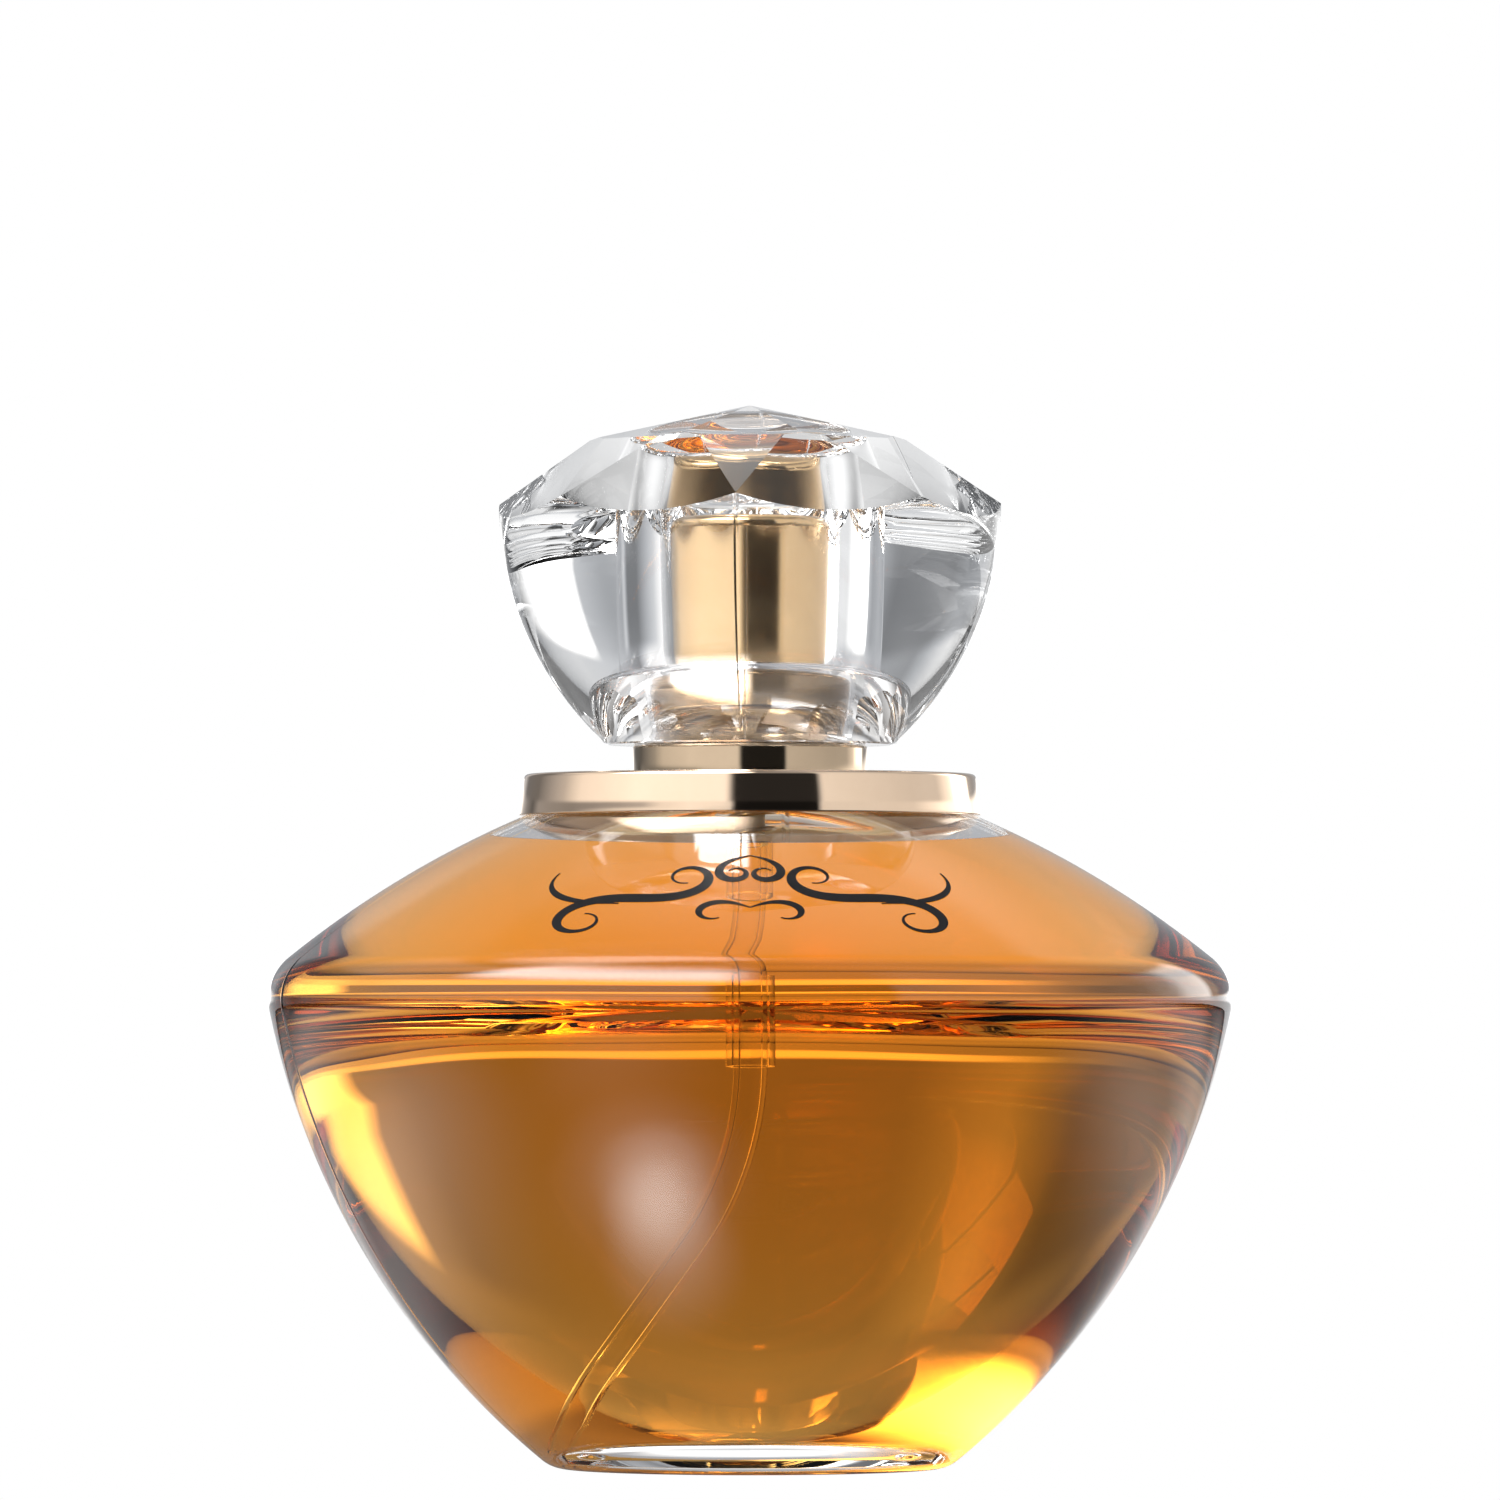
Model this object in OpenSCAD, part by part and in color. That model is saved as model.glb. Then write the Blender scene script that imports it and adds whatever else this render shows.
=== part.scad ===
// Round glass perfume bottle with a crimped spray pump, gold trim and a clear faceted cap.
// Millimetres, +Z up, origin at the centre of the base. The spray opening faces +Y.

/* [Bottle] */
// Radius of the arc that draws the shoulder
shoulder_r = 80.25; // [80:0.05:80.5]
// Radius of the arc that draws the lower wall
belly_r = 63.5; // [63.3:0.05:63.7]
// Rounding of the ridge where shoulder and lower wall meet
ridge_round = 4.4; // [3.5:0.1:5]
// Glass thickness under the shoulder
shoulder_wall = 3.3; // [3:0.1:3.4]
// Glass thickness of the lower wall
belly_wall = 3.8; // [3.4:0.1:4.2]
// Glass thickness at the middle of the base
base_wall = 4.2; // [4:0.1:4.4]
// Height of the liquid
fill_z = 47.3; // [40:0.1:50.5]

/* [Neck and trim] */
// Radius of the bore of the neck
neck_bore_r = 4.6; // [4.4:0.05:4.7]
// Height of the top of the neck
neck_top_z = 58.9; // [58.8:0.05:58.9]
// Radius of the gold shoulder ring at its foot
ring_r = 18.5; // [18.3:0.1:19]
// Radius of the flange of the gold collar
collar_flange_r = 9.4; // [9.3:0.05:9.6]

/* [Pump] */
// How far the actuator goes down
stroke = 4; // [3.5:0.1:4]
// Radius of the gold actuator
actuator_r = 6.4; // [6.2:0.05:6.4]
// Height of the top of the actuator
actuator_top_z = 76.2; // [76:0.1:76.4]
// Outer radius of the dip tube
tube_r = 1; // [0.9:0.05:1.05]

/* [Cap] */
// Largest radius of the cap
cap_r = 20.1; // [20:0.1:20.4]
// Height of the points of the scalloped rim
rim_z = 77.1; // [77:0.1:77.3]
// Height of the tip of the crown
cap_tip_z = 85; // [84.9:0.05:85.2]
// Number of facets around the crown
facets = 8; // [8:1:8]
// Turn of the crown about its axis, in degrees
crown_turn = -3.2; // [-22:0.1:22]

/* [Hidden] */
$fn = 120;

gold = [0.86, 0.72, 0.50];
pale_gold = [0.85, 0.79, 0.70];
clear = [0.92, 0.95, 0.97, 0.4];

far = 100;                    // larger than any part of the object
gap = 0.05;                   // slip clearance between neighbours
skin = 0.03;                  // clearance between liquid and what it wets

// centres of the two arcs of the bottle's outline
shoulder_c = [-13.45, -21.68];
belly_c = [-23.67, 49.76];
base_round = 3;               // rounding of the edge of the base
cavity_ridge_round = 6;       // the same roundings inside the glass
cavity_base_round = 5;
cavity_neck_round = 2.5;
punt_r = 11.5;                // recess under the base
punt_depth = 0.6;
dot_count = 24;               // raised dots around the recess
dot_r = 0.35;
dot_ring_r = punt_r - 1.5;

land_z = 53.8;                // flat land round the neck
neck_r = 6.3;
bead_r = 7.45;
bead_z = neck_top_z - 3.2;
bead_round = 0.5;

gasket_h = 0.8;
gasket_r = bead_r - 0.3;
gasket_top_z = neck_top_z + gasket_h;
flange_h = 0.7;               // flange of the pump housing
flange_r = bead_r - 0.5;
flange_top_z = gasket_top_z + flange_h;
ferrule_wall = 0.4;
ferrule_r = bead_r + 0.5;
ferrule_top_z = flange_top_z + ferrule_wall;
crimp_z = bead_z - 0.6;
crimp_bore_r = neck_r + 0.4;
ferrule_bore_r = 2.6;

// pump, from its foot up
tail_z = 35;
tail_r = 1.45;
tube_top_z = 40;
passage_r = 0.7;
ball_r = 1.2;
ball_seat_z = 42;
ball_z = ball_seat_z + sqrt(pow(ball_r, 2) - pow(passage_r, 2));
ball_pocket_r = 1.3;
ball_stop_z = 44.2;           // lip that stops the ball
ball_stop_r = 1;
chamber_z = 45;
chamber_r = 2.6;
barrel_r = 3.2;
barrel_foot_z = 43.6;
funnel_z = 41;                // foot of the cone between tail and barrel
head_r = 3.9;                 // wider head of the housing, round lid and seal
head_z = 56.1;
seal_z = 56.7;
seal_h = 0.6;
lid_z = seal_z + seal_h;
lid_r = 3.2;
stem_r = 1.8;
stem_bore_r = 0.6;
stem_core_r = 1.2;
stem_collar_r = 2.3;          // collar that stops the stem under its seal
stem_collar_h = 1;
stem_foot_z = 50;
stem_top_z = 70;
piston_z = 52;
piston_h = 2.6;
piston_cup = 1;               // depth and wall of the piston's cup
piston_cup_wall = 0.5;
port_z = 55.1;                // cross port of the stem, above the piston
port_r = 0.3;
spring_turns = 5;
spring_wire_r = 0.2;
spring_r = 1.95;

// dip tube: straight, bend, slanted stretch, bend back
tube_bore_r = tube_r - 0.35;
tube_lean = 30;               // lean of the slanted stretch, in degrees
tube_bend_z = 35;
tube_bend_r = 24;
tube_slant_l = 11.6;
tube_foot_lean = 10.5;
tube_foot_bend_r = 25.5;

ring_z = 52.1;
ring_top_z = 55.45;
ring_top_r = ring_r - 0.4;
ring_wall = 0.6;
ring_bore_r = 8.2;

collar_bore_r = ferrule_r + gap;
collar_waist_r = 8.45;
collar_bead_r = 8.7;
collar_flange_top_z = 57.75;
collar_bead_z = 62;
collar_top_z = 65.2;
collar_mouth_r = actuator_r + 0.35;
collar_lip = 0.5;

actuator_wall = 0.35;
actuator_foot_z = ferrule_top_z + stroke + 0.15;
actuator_round = 0.8;
core_r = actuator_r - actuator_wall - gap / 2;
core_top_z = actuator_top_z - actuator_wall - gap / 2;
core_skirt_top_z = 69.5;
core_skirt_r = 5.2;
core_hub_r = 3;
nozzle_z = 72.6;
nozzle_r = 1.7;
nozzle_l = 2.6;
orifice_r = 0.25;
channel_r = 0.5;

cap_foot_z = 57.8;
cap_side_r = 25.8;            // radius of the arc that draws the cap's side
cap_chamber_r = 9.2;
cap_chamber_top_z = 65.5;
cap_bore_r = 7.25;
cap_bore_top_z = 77.8;
liner_wall = 0.38;
main_slope = 0.88;            // fall over run of the crown's three rows of facets
star_slope = 0.66;
top_slope = 0.235;
facet_step = 360 / facets;

function unit(v) = v / norm(v);

// crossing of two circles on the side away from the axis
function crossing(c1, r1, c2, r2) =
    let (l = norm(c2 - c1), u = (c2 - c1) / l, a = (l * l + r1 * r1 - r2 * r2) / (2 * l))
    c1 + a * u + sqrt(r1 * r1 - a * a) * [u[1], -u[0]];

// height on a circle at a radius from the axis
function height_on(c, r, x) = c[1] + sqrt(r * r - pow(x - c[0], 2));
// radius from the axis of a circle's outer side at a height
function reach_on(c, r, z) = c[0] + sqrt(r * r - pow(z - c[1], 2));

module below(z) { translate([-far, z - far]) square([2 * far, far]); }
module above(z) { translate([-far, z]) square([2 * far, far]); }
module right_of_axis() { translate([0, -far]) square([far, 2 * far]); }
module band(r1, r2, z1, z2) { translate([r1, z1]) square([r2 - r1, z2 - z1]); }
module disc(c, r) { translate(c) circle(r); }

// replaces what lies in the corner between two directions by a round of radius r about c
module round_corner(c, r, dir1, dir2) {
    wedge = [c, c + 2 * r * dir1, c + 2 * r * dir2];
    difference() {
        children();
        polygon(wedge);
    }
    intersection() {
        disc(c, r);
        polygon(wedge);
    }
}

// outline between shoulder arc and belly arc, each drawn in by its own wall, down to a floor
module vessel_outline(shoulder_in, belly_in, floor_z, ridge_r, foot_r) {
    rs = shoulder_r - shoulder_in;
    rb = belly_r - belly_in;
    ridge_c = crossing(shoulder_c, rs - ridge_r, belly_c, rb - ridge_r);
    foot_c = [reach_on(belly_c, rb - foot_r, floor_z + foot_r), floor_z + foot_r];
    round_corner(foot_c, foot_r, unit(foot_c - belly_c), [0, -1])
        round_corner(ridge_c, ridge_r, unit(ridge_c - shoulder_c), unit(ridge_c - belly_c))
            intersection() {
                disc(shoulder_c, rs);
                disc(belly_c, rb);
                above(floor_z);
                right_of_axis();
            }
}

// inside of the glass without the neck's bore; ease draws it in
module cavity_outline(ease) {
    vessel_outline(shoulder_wall + ease, belly_wall + ease, base_wall + ease,
                   cavity_ridge_round - ease, cavity_base_round - ease);
}

// bore of the neck, with the rounded throat that leads into it
module bore_outline() {
    rs = shoulder_r - shoulder_wall;
    throat_r = neck_bore_r + cavity_neck_round;
    throat_c = [throat_r, height_on(shoulder_c, rs + cavity_neck_round, throat_r)];
    touch = throat_c - cavity_neck_round * unit(throat_c - shoulder_c);
    band(0, neck_bore_r, throat_c[1] - 1, neck_top_z + 1);
    difference() {
        polygon([[0, throat_c[1]], throat_c, touch + 0.5 * (touch - throat_c), [0, touch[1] - 1]]);
        disc(throat_c, cavity_neck_round);
    }
}

module neck_outline() {
    band(0, neck_r, land_z - 1, neck_top_z);
    round_corner([bead_r - bead_round, neck_top_z - bead_round], bead_round, [1, 0], [0, 1])
        round_corner([bead_r - bead_round, bead_z + bead_round], bead_round, [1, 0], [0, -1])
            band(0, bead_r, bead_z, neck_top_z);
}

module glass_bottle() {
    color(clear) {
        difference() {
            rotate_extrude() difference() {
                union() {
                    intersection() {
                        vessel_outline(0, 0, 0, ridge_round, base_round);
                        below(land_z);
                    }
                    neck_outline();
                }
                cavity_outline(0);
                bore_outline();
            }
            translate([0, 0, -1]) cylinder(r = punt_r, h = 1 + punt_depth);
        }
        for (i = [0:dot_count - 1]) rotate(i * 360 / dot_count)
            translate([dot_ring_r, 0, punt_depth - dot_r / 2]) cylinder(r = dot_r, h = dot_r);
    }
}

// a bend of the dip tube from the origin down, leaning towards -X by an angle, and what hangs below it
module tube_bend(r, bend_r, lean) {
    translate([-bend_r, 0, 0]) rotate([-90, 0, 0])
        rotate_extrude(angle = lean) translate([bend_r, 0]) circle(r);
    translate([-bend_r, 0, 0]) rotate([0, lean, 0]) translate([bend_r, 0, 0]) children();
}

// a straight stretch of the dip tube from the origin down, and what hangs below it
module tube_run(r, l) {
    translate([0, 0, -l]) {
        cylinder(r = r, h = l);
        children();
    }
}

// the dip tube's path as solid stretches of radius r, from its top end to its foot
module tube_path(r) {
    translate([0, 0, tube_top_z])
        tube_run(r, tube_top_z - tube_bend_z)
        tube_bend(r, tube_bend_r, tube_lean)
        tube_run(r, tube_slant_l)
        rotate([0, 0, 180])
        tube_bend(r, tube_foot_bend_r, tube_lean - tube_foot_lean);
}

module dip_tube() {
    color([0.95, 0.95, 0.92, 0.6]) difference() {
        tube_path(tube_r);
        tube_path(tube_bore_r);
    }
}

module perfume_liquid() {
    color([0.85, 0.55, 0.2, 0.6]) difference() {
        rotate_extrude() intersection() {
            cavity_outline(skin);
            below(fill_z);
        }
        tube_path(tube_r + skin);
        translate([0, 0, tail_z - skin]) cylinder(r = tail_r + skin, h = far);
        housing_body(skin);
    }
}

// outside of the barrel of the pump housing, grown by ease
module housing_body(ease) {
    rotate_extrude() polygon([
        [0, funnel_z - ease],
        [tail_r + ease, funnel_z - ease],
        [barrel_r + ease, barrel_foot_z - ease],
        [barrel_r + ease, head_z - head_r + barrel_r - ease],
        [head_r + ease, head_z - ease],
        [head_r + ease, gasket_top_z],
        [0, gasket_top_z]
    ]);
}

module pump_housing() {
    color([0.96, 0.96, 0.95]) difference() {
        union() {
            housing_body(0);
            translate([0, 0, tail_z]) cylinder(r = tail_r, h = ball_seat_z - tail_z);
            translate([0, 0, gasket_top_z]) cylinder(r = flange_r, h = flange_h);
        }
        translate([0, 0, tail_z - 1]) cylinder(r = tube_r + skin, h = tube_top_z + skin - tail_z + 1);
        translate([0, 0, tail_z]) cylinder(r = passage_r, h = ball_seat_z - tail_z + 1);
        translate([0, 0, ball_seat_z]) cylinder(r = ball_pocket_r, h = ball_stop_z - ball_seat_z);
        translate([0, 0, ball_stop_z - 1]) cylinder(r = ball_stop_r, h = 3);
        translate([0, 0, chamber_z]) cylinder(r = chamber_r, h = far);
        translate([0, 0, seal_z]) cylinder(r = lid_r, h = far);
    }
}

module inlet_ball() {
    color("lightsteelblue") translate([0, 0, ball_z]) sphere(ball_r);
}

// point on the spring's wire: turn t along it, angle a round it
function wire_point(t, a, pitch) =
    let (rho = spring_r + spring_wire_r * cos(a))
    [rho * cos(360 * t), rho * sin(360 * t), pitch * t + spring_wire_r * sin(a)];

module return_spring() {
    sides = 6;
    rings = 16 * spring_turns;
    foot_z = chamber_z + spring_wire_r + skin;
    pitch = (piston_z - chamber_z - 2 * (spring_wire_r + skin)) / spring_turns;
    points = [for (i = [0:rings], j = [0:sides - 1])
        wire_point(i * spring_turns / rings, j * 360 / sides, pitch)];
    walls = [for (i = [0:rings - 1], j = [0:sides - 1])
        let (k = (j + 1) % sides, low = i * sides, high = low + sides)
        [low + j, low + k, high + k, high + j]];
    foot_cap = [for (j = [0:sides - 1]) sides - 1 - j];
    head_cap = [for (j = [0:sides - 1]) rings * sides + j];
    color("silver") translate([0, 0, foot_z])
        polyhedron(points, concat([foot_cap], walls, [head_cap]), convexity = 10);
}

module pump_piston() {
    color([0.9, 0.9, 0.88]) translate([0, 0, piston_z]) difference() {
        cylinder(r = chamber_r - gap, h = piston_h);
        translate([0, 0, -1]) cylinder(r = stem_core_r, h = piston_h + 2);
        translate([0, 0, piston_h - piston_cup])
            cylinder(r = chamber_r - piston_cup_wall, h = 2 * piston_cup);
    }
}

module pump_stem() {
    collar_z = seal_z - gap - stem_collar_h;
    color([0.96, 0.96, 0.95]) difference() {
        union() {
            translate([0, 0, stem_foot_z])
                cylinder(r = stem_core_r, h = collar_z + stem_collar_h - stem_foot_z);
            translate([0, 0, collar_z]) cylinder(r = stem_collar_r, h = stem_collar_h);
            translate([0, 0, collar_z + stem_collar_h / 2])
                cylinder(r = stem_r, h = stem_top_z - collar_z - stem_collar_h / 2);
        }
        translate([0, 0, port_z - port_r]) cylinder(r = stem_bore_r, h = far);
        translate([-far / 2, 0, port_z]) rotate([0, 90, 0]) cylinder(r = port_r, h = far);
    }
}

module washer(r1, r2, z, h) {
    translate([0, 0, z]) difference() {
        cylinder(r = r2, h = h);
        translate([0, 0, -1]) cylinder(r = r1, h = h + 2);
    }
}

module stem_seal() { color("dimgray") washer(stem_r + gap, lid_r - skin, seal_z, seal_h); }

module housing_lid() { color("white") washer(stem_r + gap, lid_r - skin, lid_z, flange_top_z - lid_z); }

module neck_gasket() { color("gainsboro") washer(head_r + gap, gasket_r, neck_top_z, gasket_h); }

module crimp_ferrule() {
    color("silver") rotate_extrude() {
        band(ferrule_bore_r, ferrule_r, flange_top_z, ferrule_top_z);
        band(bead_r + gap, ferrule_r, crimp_z, flange_top_z + 0.1);
        band(crimp_bore_r, ferrule_r, crimp_z, crimp_z + ferrule_wall);
    }
}

// the glass under the trim, grown by ease
module shoulder_under_trim(ease) {
    intersection() {
        disc(shoulder_c, shoulder_r + ease);
        below(land_z + ease);
    }
}

module ring_insert() {
    color("ivory") rotate_extrude() difference() {
        band(ring_bore_r + gap, ring_top_r - ring_wall - gap, ring_z, ring_top_z - ring_wall - skin);
        shoulder_under_trim(gap);
    }
}

module shoulder_ring() {
    edge = 0.4;
    color(pale_gold) rotate_extrude() difference() {
        round_corner([ring_top_r - edge, ring_top_z - edge], edge, [1, 0], [0, 1])
            polygon([
                [ring_bore_r, ring_z],
                [ring_r, ring_z],
                [ring_top_r, ring_top_z - edge],
                [ring_top_r, ring_top_z],
                [ring_bore_r, ring_top_z]
            ]);
        band(0, ring_top_r - ring_wall, ring_z - 1, ring_top_z - ring_wall);
        shoulder_under_trim(gap);
    }
}

module collar_insert() {
    color("ivory") washer(collar_mouth_r + gap, collar_bore_r - skin, ferrule_top_z + gap,
                          collar_top_z - collar_lip - ferrule_top_z - 2 * gap);
}

module collar() {
    edge = 0.6;
    small_edge = 0.25;
    foot_z = ring_top_z + skin;
    color(pale_gold) rotate_extrude() difference() {
        union() {
            round_corner([collar_flange_r - small_edge, collar_flange_top_z - small_edge], small_edge,
                         [1, 0], [0, 1])
                band(0, collar_flange_r, foot_z, collar_flange_top_z);
            band(0, collar_waist_r, foot_z, collar_bead_z + 1);
            round_corner([collar_bead_r - edge, collar_top_z - edge], edge, [1, 0], [0, 1])
                round_corner([collar_bead_r - small_edge, collar_bead_z + small_edge], small_edge,
                             [1, 0], [0, -1])
                    band(0, collar_bead_r, collar_bead_z, collar_top_z);
        }
        band(0, collar_bore_r, 0, collar_top_z - collar_lip);
        band(0, collar_mouth_r, 0, far);
    }
}

// cylinder along +Y from the axis at the nozzle's height
module spray_bore(r, from, to) {
    translate([0, from, nozzle_z]) rotate([-90, 0, 0]) cylinder(r = r, h = to - from);
}

module actuator_core() {
    color("white") difference() {
        rotate_extrude()
            round_corner([core_r - actuator_round, core_top_z - actuator_round], actuator_round,
                         [1, 0], [0, 1])
                band(0, core_r, actuator_foot_z, core_top_z);
        washer(core_hub_r, core_skirt_r, actuator_foot_z - 1, core_skirt_top_z - actuator_foot_z + 1);
        translate([0, 0, actuator_foot_z - 1])
            cylinder(r = stem_r + gap, h = stem_top_z - actuator_foot_z + 1 + gap);
        translate([0, 0, stem_top_z - 1]) cylinder(r = channel_r, h = nozzle_z - stem_top_z + 1);
        spray_bore(channel_r, 0, far);
        spray_bore(nozzle_r + skin, core_r - nozzle_l, far);
    }
}

module actuator_sleeve() {
    edge_c = [actuator_r - actuator_round, actuator_top_z - actuator_round];
    color(gold) difference() {
        rotate_extrude() difference() {
            round_corner(edge_c, actuator_round, [1, 0], [0, 1])
                band(0, actuator_r, actuator_foot_z, actuator_top_z);
            round_corner(edge_c, actuator_round - actuator_wall, [1, 0], [0, 1])
                band(0, actuator_r - actuator_wall, actuator_foot_z - 1, actuator_top_z - actuator_wall);
        }
        spray_bore(nozzle_r + skin, 0, far);
    }
}

module spray_nozzle() {
    color("white") intersection() {
        difference() {
            spray_bore(nozzle_r, core_r - nozzle_l + skin, actuator_r);
            spray_bore(orifice_r, 0, far);
            spray_bore(channel_r, 0, core_r - 1);
            spray_bore(nozzle_r / 2, actuator_r - 0.5, far);
        }
        translate([0, 0, nozzle_z - far / 2]) cylinder(r = actuator_r - 0.1, h = far);
    }
}

module cap_liner() {
    foot_z = cap_foot_z + 0.15;
    color(clear) washer(cap_chamber_r - skin - liner_wall, cap_chamber_r - skin, foot_z,
                        cap_chamber_top_z - foot_z - skin);
}

// everything above a plane that falls outward towards an azimuth, through (r, z)
module above_facet(azimuth, r, z, slope) {
    rotate([0, 0, azimuth - 90]) translate([r, 0, z]) rotate([0, atan(slope), 0])
        translate([-far, -far / 2, 0]) cube([1.5 * far, far, far]);
}

// cuts one row of facets, one after another; shift turns the row by a share of a step
module facet_row(r, z, slope, shift, count = facets) {
    if (count == 0) children();
    else difference() {
        facet_row(r, z, slope, shift, count - 1) children();
        above_facet(crown_turn + (count + shift) * facet_step, r, z, slope);
    }
}

module cap_crown() {
    side_c = [cap_r - cap_side_r, rim_z];
    color(clear)
        facet_row(cap_r, rim_z, star_slope, 0)
        facet_row(cap_r * cos(facet_step / 2), rim_z, main_slope, 0.5)
        facet_row(0, cap_tip_z, top_slope, 0)
        rotate_extrude() difference() {
            intersection() {
                disc(side_c, cap_side_r);
                band(0, cap_r, cap_foot_z, cap_tip_z + 1);
            }
            band(0, cap_chamber_r, cap_foot_z - 1, cap_chamber_top_z);
            band(0, cap_bore_r, cap_foot_z - 1, cap_bore_top_z);
        }
}

glass_bottle();
perfume_liquid();
dip_tube();
pump_housing();
inlet_ball();
return_spring();
pump_piston();
pump_stem();
stem_seal();
housing_lid();
neck_gasket();
crimp_ferrule();
ring_insert();
shoulder_ring();
collar_insert();
collar();
actuator_core();
actuator_sleeve();
spray_nozzle();
cap_liner();
cap_crown();
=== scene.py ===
"""Looks for the perfume bottle: glass, amber liquid, gold trim and a clear faceted cap."""
import math

import bmesh
import bpy
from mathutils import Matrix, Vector


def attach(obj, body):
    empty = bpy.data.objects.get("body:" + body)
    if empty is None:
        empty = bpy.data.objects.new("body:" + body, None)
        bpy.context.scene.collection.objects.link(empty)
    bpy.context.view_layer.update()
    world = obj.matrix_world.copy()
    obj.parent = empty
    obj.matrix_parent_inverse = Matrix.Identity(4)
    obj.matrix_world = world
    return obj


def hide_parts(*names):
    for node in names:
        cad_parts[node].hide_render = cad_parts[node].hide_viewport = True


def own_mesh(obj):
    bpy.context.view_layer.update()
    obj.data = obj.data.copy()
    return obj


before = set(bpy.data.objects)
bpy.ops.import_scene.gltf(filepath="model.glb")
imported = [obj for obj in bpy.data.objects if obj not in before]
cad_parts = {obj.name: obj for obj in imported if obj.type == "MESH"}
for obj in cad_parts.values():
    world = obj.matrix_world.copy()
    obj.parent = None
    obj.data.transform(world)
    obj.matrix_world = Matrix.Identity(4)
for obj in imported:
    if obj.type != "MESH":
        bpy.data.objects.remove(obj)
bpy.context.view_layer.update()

MM = 0.001

# Bottle outline in millimetres: two arcs, a rounded ridge between them and a rounded foot
SHOULDER_C, SHOULDER_R = (-13.45, -21.68), 80.25
BELLY_C, BELLY_R = (-23.67, 49.76), 63.5
RIDGE_ROUND, FOOT_ROUND = 4.4, 3.0
SHOULDER_WALL, BELLY_WALL, BASE_WALL = 3.3, 3.8, 4.2
CAVITY_RIDGE_ROUND, CAVITY_FOOT_ROUND, THROAT_ROUND = 6.0, 5.0, 2.5
LAND_Z, NECK_R, BEAD_R, BEAD_H, NECK_TOP_Z, BORE_R = 53.8, 6.3, 7.45, 3.2, 58.9, 4.6
NECK_FILLET, BEAD_ROUND, MOUTH_ROUND = 0.6, 0.5, 0.4

# Hollow under the base, and the ring of raised dots in it
PUNT_R, PUNT_DEPTH = 11.5, 0.6
DOT_RING_R, DOT_COUNT, DOT_SIZE, DOT_HEIGHT = 9.2, 24, 0.55, 0.22

# Parting lines of the glass mould: azimuths and half width in degrees, height in millimetres
SEAM_TURNS, SEAM_WIDTH, SEAM_HEIGHT = (-164.0, 16.0), 0.35, 0.05

# Unevenness of the inside of the glass. It fades out at the middle of the floor and up at the neck.
RIPPLE = 0.12
RIPPLE_FLOOR_Z, RIPPLE_FLOOR_R = 12.0, 12.0
RIPPLE_END_Z, RIPPLE_END_FADE = LAND_Z - 2, 6.0

# Liquid. It leaves the pump's chamber free, from the middle of the pump's wall in.
FILL_Z = 47.3
MENISCUS_RISE, MENISCUS_LENGTH = 0.45, 1.7
LIQUID_GAP = 0.02
BARREL_MID_R, BARREL_FLOOR_Z = 2.9, 44.85

# Dip tube path in millimetres
TUBE_R, TUBE_BORE_R = 1.0, 0.65
TUBE_STRAIGHT = (40.0, 38.0, 36.0)
TUBE_BEND_Z, TUBE_BEND_R, TUBE_LEAN = 35.0, 24.0, 30.0
TUBE_SLANT, TUBE_FOOT_R, TUBE_FOOT_LEAN = 11.6, 25.5, 10.5

# Refractive indices
GLASS, LIQUID, TUBE, ACRYLIC = 1.5, 1.36, 1.5, 1.49


# ---------------------------------------------------------------- outlines
def arc(centre, radius, start, end, count):
    """Points on a circle from one angle to another, in degrees."""
    angles = [math.radians(start + (end - start) * i / count) for i in range(count + 1)]
    return [(centre[0] + radius * math.cos(a), centre[1] + radius * math.sin(a)) for a in angles]


def bearing(centre, point):
    """Angle of a point seen from a centre, in degrees."""
    return math.degrees(math.atan2(point[1] - centre[1], point[0] - centre[0]))


def crossing(c1, r1, c2, r2):
    """Where two circles cross, on the side away from the axis."""
    dx, dz = c2[0] - c1[0], c2[1] - c1[1]
    length = math.hypot(dx, dz)
    ux, uz = dx / length, dz / length
    along = (length**2 + r1**2 - r2**2) / (2 * length)
    off = math.sqrt(r1**2 - along**2)
    return (c1[0] + along * ux + off * uz, c1[1] + along * uz - off * ux)


def reach_on(centre, radius, z):
    """Distance from the axis of a circle's outer side at a height."""
    return centre[0] + math.sqrt(radius**2 - (z - centre[1]) ** 2)


def height_on(centre, radius, r):
    """Height of a circle's upper side at a distance from the axis."""
    return centre[1] + math.sqrt(radius**2 - (r - centre[0]) ** 2)


def run(start, end, count):
    """Evenly spaced points on a straight line."""
    return [
        (start[0] + (end[0] - start[0]) * i / count, start[1] + (end[1] - start[1]) * i / count)
        for i in range(count + 1)
    ]


def chain(*parts):
    """Joins runs of points and drops repeats."""
    points = []
    for part in parts:
        for p in part:
            if not points or math.hypot(p[0] - points[-1][0], p[1] - points[-1][1]) > 1e-4:
                points.append(p)
    return points


def vessel(top_z, shoulder_in, belly_in, floor_z, ridge_r, foot_r):
    """Outline from the shoulder at top_z, over the ridge and down to the edge of the flat floor."""
    rs, rb = SHOULDER_R - shoulder_in, BELLY_R - belly_in
    ridge = crossing(SHOULDER_C, rs - ridge_r, BELLY_C, rb - ridge_r)
    foot = (reach_on(BELLY_C, rb - foot_r, floor_z + foot_r), floor_z + foot_r)
    top = (reach_on(SHOULDER_C, rs, top_z), top_z)
    upper, lower, end = bearing(SHOULDER_C, ridge), bearing(BELLY_C, ridge), bearing(BELLY_C, foot)
    return chain(
        arc(SHOULDER_C, rs, bearing(SHOULDER_C, top), upper, 70),
        arc(ridge, ridge_r, upper, lower, 36),
        arc(BELLY_C, rb, lower, end, 120),
        arc(foot, foot_r, end, -90, 24),
    )


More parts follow.
